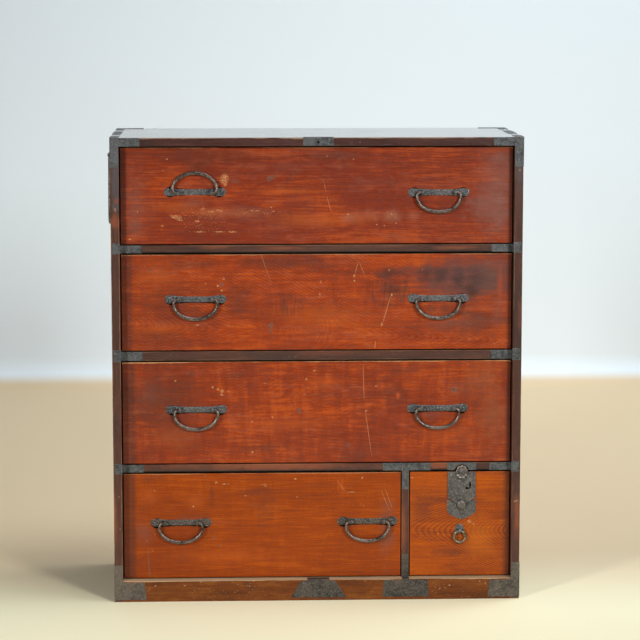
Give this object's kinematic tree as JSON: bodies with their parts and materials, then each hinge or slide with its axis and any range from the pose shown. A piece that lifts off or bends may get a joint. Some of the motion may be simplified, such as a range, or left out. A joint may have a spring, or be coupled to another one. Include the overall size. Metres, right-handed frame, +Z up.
{
  "type": "tansu chest",
  "caption": "Small Japanese tansu clothes chest in lacquered wood with iron straps, wide drawers with bail pulls, a small lockable drawer and carrying handles on the sides.",
  "frame": {"origin": "on the floor under the middle of the case", "axes": "+X to the right seen from the front, +Y to the back, +Z up; the drawers open along -Y"},
  "size_m": [0.8924, 0.3623, 0.9965],
  "materials": {
    "case_wood": "dark worn lacquer",
    "drawer_wood": "red-brown wiped lacquer over open grain",
    "inner_wood": "bare",
    "iron": "dark forged, patinated"
  },
  "bodies": {
    "case": {"side_left": "case_wood", "side_right": "case_wood", "top_board": "case_wood", "bottom_board": "inner_wood", "foot_rail_front": "case_wood", "foot_rail_rear": "inner_wood", "back_boards": "inner_wood", "rail_upper": "case_wood", "rail_middle": "case_wood", "rail_lower": "case_wood", "dust_boards": "inner_wood", "divider": "case_wood", "top_corner_irons": "iron", "foot_corner_irons": "iron", "top_edge_irons": "iron", "rail_straps": "iron", "tee_strap": "iron", "foot_plates": "iron", "cover_lock_plate": "iron", "strike_plate": "iron", "iron_nails": "iron", "side_handle_pins": "iron"},
    "drawer_1": {"drawer_1_front": "drawer_wood", "drawer_1_walls": "inner_wood", "drawer_1_bottom": "inner_wood", "drawer_1_pull_irons": "iron"},
    "drawer_1_bail_left": {"drawer_1_bail_left": "iron"},
    "drawer_1_bail_right": {"drawer_1_bail_right": "iron"},
    "drawer_2": {"drawer_2_front": "drawer_wood", "drawer_2_walls": "inner_wood", "drawer_2_bottom": "inner_wood", "drawer_2_pull_irons": "iron"},
    "drawer_2_bail_left": {"drawer_2_bail_left": "iron"},
    "drawer_2_bail_right": {"drawer_2_bail_right": "iron"},
    "drawer_3": {"drawer_3_front": "drawer_wood", "drawer_3_walls": "inner_wood", "drawer_3_bottom": "inner_wood", "drawer_3_pull_irons": "iron"},
    "drawer_3_bail_left": {"drawer_3_bail_left": "iron"},
    "drawer_3_bail_right": {"drawer_3_bail_right": "iron"},
    "drawer_4": {"drawer_4_front": "drawer_wood", "drawer_4_walls": "inner_wood", "drawer_4_bottom": "inner_wood", "drawer_4_pull_irons": "iron"},
    "drawer_4_bail_left": {"drawer_4_bail_left": "iron"},
    "drawer_4_bail_right": {"drawer_4_bail_right": "iron"},
    "drawer_5": {"drawer_5_front": "drawer_wood", "drawer_5_walls": "inner_wood", "drawer_5_bottom": "inner_wood", "lock_plate": "iron", "lock_foot_plate": "iron", "lock_case": "iron", "lock_rosette": "iron", "ring_eye": "iron"},
    "ring_pull": {"ring_pull": "iron"},
    "lock_slide": {"lock_bolt": "iron", "lock_button": "iron"},
    "side_handle_left": {"side_handle_left": "iron"},
    "side_handle_right": {"side_handle_right": "iron"}
  },
  "joints": [
    {"name": "drawer_1_slide", "type": "slide", "parent": "case", "child": "drawer_1", "axis": [0, -1, 0], "range_m": [0, 0.26]},
    {"name": "drawer_1_bail_left_hinge", "type": "hinge", "parent": "drawer_1", "child": "drawer_1_bail_left", "pos_m": [-0.258, -0.168, 0.87815], "axis": [1, 0, 0], "range_deg": [0, 192]},
    {"name": "drawer_1_bail_right_hinge", "type": "hinge", "parent": "drawer_1", "child": "drawer_1_bail_right", "pos_m": [0.258, -0.168, 0.87815], "axis": [-1, 0, 0], "range_deg": [-6, 186]},
    {"name": "drawer_2_slide", "type": "slide", "parent": "case", "child": "drawer_2", "axis": [0, -1, 0], "range_m": [0, 0.26]},
    {"name": "drawer_2_bail_left_hinge", "type": "hinge", "parent": "drawer_2", "child": "drawer_2_bail_left", "pos_m": [-0.258, -0.168, 0.6514], "axis": [-1, 0, 0], "range_deg": [-6, 186]},
    {"name": "drawer_2_bail_right_hinge", "type": "hinge", "parent": "drawer_2", "child": "drawer_2_bail_right", "pos_m": [0.258, -0.168, 0.6514], "axis": [-1, 0, 0], "range_deg": [-6, 186]},
    {"name": "drawer_3_slide", "type": "slide", "parent": "case", "child": "drawer_3", "axis": [0, -1, 0], "range_m": [0, 0.26]},
    {"name": "drawer_3_bail_left_hinge", "type": "hinge", "parent": "drawer_3", "child": "drawer_3_bail_left", "pos_m": [-0.258, -0.168, 0.41415], "axis": [-1, 0, 0], "range_deg": [-6, 186]},
    {"name": "drawer_3_bail_right_hinge", "type": "hinge", "parent": "drawer_3", "child": "drawer_3_bail_right", "pos_m": [0.258, -0.168, 0.41415], "axis": [-1, 0, 0], "range_deg": [-6, 186]},
    {"name": "drawer_4_slide", "type": "slide", "parent": "case", "child": "drawer_4", "axis": [0, -1, 0], "range_m": [0, 0.26]},
    {"name": "drawer_4_bail_left_hinge", "type": "hinge", "parent": "drawer_4", "child": "drawer_4_bail_left", "pos_m": [-0.2925, -0.168, 0.1684], "axis": [-1, 0, 0], "range_deg": [-6, 186]},
    {"name": "drawer_4_bail_right_hinge", "type": "hinge", "parent": "drawer_4", "child": "drawer_4_bail_right", "pos_m": [0.1085, -0.168, 0.1684], "axis": [-1, 0, 0], "range_deg": [-6, 186]},
    {"name": "drawer_5_slide", "type": "slide", "parent": "case", "child": "drawer_5", "axis": [0, -1, 0], "range_m": [0, 0.26]},
    {"name": "ring_pull_hinge", "type": "hinge", "parent": "drawer_5", "child": "ring_pull", "pos_m": [0.307, -0.1673, 0.1465], "axis": [-1, 0, 0], "range_deg": [-10, 175]},
    {"name": "lock_bolt_slide", "type": "slide", "parent": "drawer_5", "child": "lock_slide", "axis": [0, 0, 1], "range_m": [0, 0.005]},
    {"name": "side_handle_left_hinge", "type": "hinge", "parent": "case", "child": "side_handle_left", "pos_m": [-0.441, 0, 0.9515], "axis": [0, 1, 0], "range_deg": [0, 180]},
    {"name": "side_handle_right_hinge", "type": "hinge", "parent": "case", "child": "side_handle_right", "pos_m": [0.441, 0, 0.9515], "axis": [0, -1, 0], "range_deg": [0, 180]}
  ]
}
